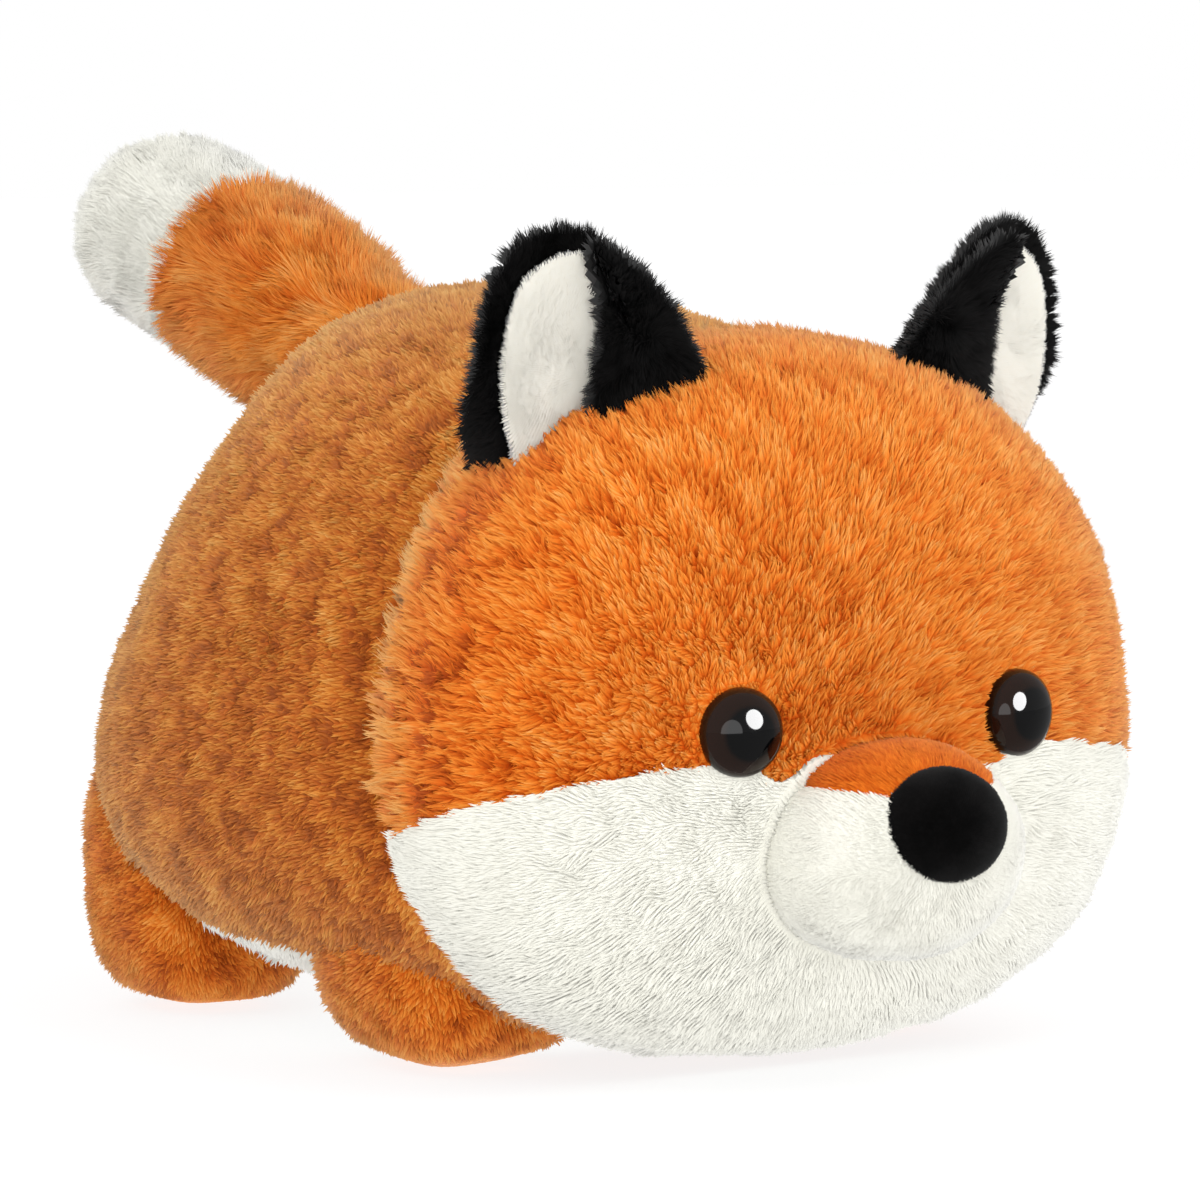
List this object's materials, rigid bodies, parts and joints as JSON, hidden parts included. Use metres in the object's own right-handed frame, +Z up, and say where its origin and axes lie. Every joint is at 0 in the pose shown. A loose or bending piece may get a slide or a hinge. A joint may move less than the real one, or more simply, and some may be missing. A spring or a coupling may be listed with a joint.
{
  "type": "stuffed toy animal",
  "caption": "Round-bodied plush fox on short legs, with a wide head, cupped ears and a thick white-tipped tail.",
  "frame": {"origin": "on the floor, under the middle of the toy's bounding box", "axes": "+Z up, +Y towards the tail, so the fox looks along -Y; its right side is at -X"},
  "size_m": [0.173, 0.3166, 0.1842],
  "materials": {
    "orange_plush": "deep pile, orange with tan tips",
    "body_plush": "crushed pile, orange brown",
    "white_plush": "soft pile, off-white",
    "cream_plush": "short pile, cream",
    "black_plush": "shaggy pile, black",
    "black_velour": "short matt pile, black",
    "eye_plastic": "polished, black pupil in a dark brown ring",
    "washer_plastic": "moulded, natural white",
    "polyester_filling": "loose white fibre"
  },
  "bodies": {
    "head_and_body": {"head_top_cover": "orange_plush", "muzzle_top_patch": "orange_plush", "right_side_cover": "body_plush", "left_side_cover": "body_plush", "front_right_leg_cover": "body_plush", "front_left_leg_cover": "body_plush", "rear_right_leg_cover": "body_plush", "rear_left_leg_cover": "body_plush", "face_cover": "white_plush", "belly_cover": "white_plush", "muzzle_cover": "white_plush", "nose_cover": "black_velour", "right_eye": "eye_plastic", "left_eye": "eye_plastic", "right_eye_washer": "washer_plastic", "left_eye_washer": "washer_plastic", "head_filling": "polyester_filling", "body_filling": "polyester_filling", "muzzle_filling": "polyester_filling", "nose_filling": "polyester_filling", "front_right_leg_filling": "polyester_filling", "front_left_leg_filling": "polyester_filling", "rear_right_leg_filling": "polyester_filling", "rear_left_leg_filling": "polyester_filling"},
    "tail": {"tail_cover": "body_plush", "tail_tip_cover": "white_plush", "tail_filling": "polyester_filling"},
    "right_ear": {"right_ear_back": "black_plush", "right_ear_lining": "cream_plush"},
    "left_ear": {"left_ear_back": "black_plush", "left_ear_lining": "cream_plush"}
  },
  "joints": [
    {"name": "tail_wag", "type": "hinge", "parent": "head_and_body", "child": "tail", "pos_m": [0, 0.05508, 0.13552], "axis": [0, -0.309, 0.9511], "range_deg": [-25, 25], "stiffness_Nm_per_rad": 0.12},
    {"name": "right_ear_fold", "type": "hinge", "parent": "head_and_body", "child": "right_ear", "pos_m": [-0.04549, -0.09337, 0.136], "axis": [0.8419, -0.2004, 0.5011], "range_deg": [-30, 30], "stiffness_Nm_per_rad": 0.02},
    {"name": "left_ear_fold", "type": "hinge", "parent": "head_and_body", "child": "left_ear", "pos_m": [0.04549, -0.09337, 0.136], "axis": [0.8419, 0.2004, -0.5011], "range_deg": [-30, 30], "stiffness_Nm_per_rad": 0.02}
  ]
}
